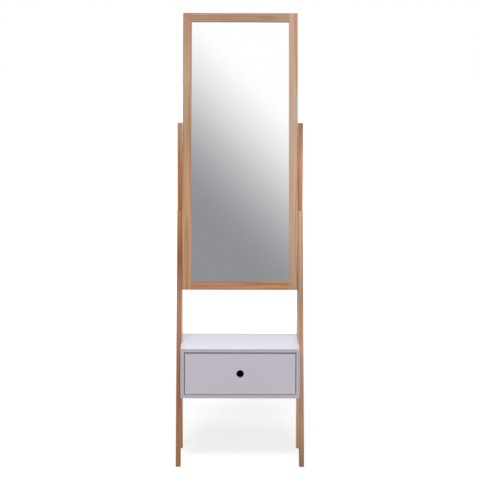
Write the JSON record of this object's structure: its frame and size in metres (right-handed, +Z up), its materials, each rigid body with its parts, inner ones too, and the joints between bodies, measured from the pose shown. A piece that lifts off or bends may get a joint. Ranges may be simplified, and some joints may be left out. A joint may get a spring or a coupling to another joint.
{
  "type": "standing mirror with drawer",
  "caption": "Tall framed mirror that tilts between two A-shaped wooden side frames, above a white box with a flush drawer and a round finger hole",
  "frame": {"origin": "on the floor, under the middle of the whole width and of the depth from the front toes to the back of the tilted frame's top edge", "axes": "+X to the right seen from the front, +Y to the back, +Z up; the mirror and the drawer hole face -Y"},
  "size_m": [0.43, 0.3812, 1.5105],
  "materials": {
    "pine": "satin clear lacquer over light pinkish-tan softwood",
    "white_board": "smooth satin white paint on board",
    "hardboard": "smooth brown hardboard",
    "dowel_wood": "plain planed beech",
    "mirror": "silvered float glass",
    "screw_steel": "zinc plated",
    "bolt_steel": "nickel plated",
    "insert_brass": "plain",
    "washer_plastic": "natural nylon",
    "glide_plastic": "dark brown"
  },
  "bodies": {
    "stand": {"left_post": "pine", "right_post": "pine", "left_front_leg": "pine", "right_front_leg": "pine", "leg_dowels": "dowel_wood", "foot_glides": "glide_plastic", "box_top": "white_board", "box_bottom": "white_board", "box_left_side": "white_board", "box_right_side": "white_board", "box_back": "hardboard", "box_dowels": "dowel_wood", "box_screws": "screw_steel", "left_runner": "dowel_wood", "right_runner": "dowel_wood", "runner_screws": "screw_steel", "pivot_washers": "washer_plastic"},
    "drawer": {"drawer_front": "white_board", "drawer_left_side": "white_board", "drawer_right_side": "white_board", "drawer_back": "white_board", "drawer_bottom": "hardboard", "drawer_bottom_screws": "screw_steel", "drawer_dowels": "dowel_wood"},
    "mirror": {"left_stile": "pine", "right_stile": "pine", "top_rail": "pine", "bottom_rail": "pine", "frame_dowels": "dowel_wood", "mirror_glass": "mirror", "backing_board": "hardboard", "backing_points": "screw_steel", "pivot_inserts": "insert_brass", "pivot_bolts": "bolt_steel"}
  },
  "joints": [
    {"name": "drawer_slide", "type": "slide", "parent": "stand", "child": "drawer", "axis": [0, -1, 0], "range_m": [0, 0.18]},
    {"name": "mirror_tilt", "type": "hinge", "parent": "stand", "child": "mirror", "pos_m": [0, 0.09191, 1.05], "axis": [1, 0, 0], "continuous": true}
  ]
}
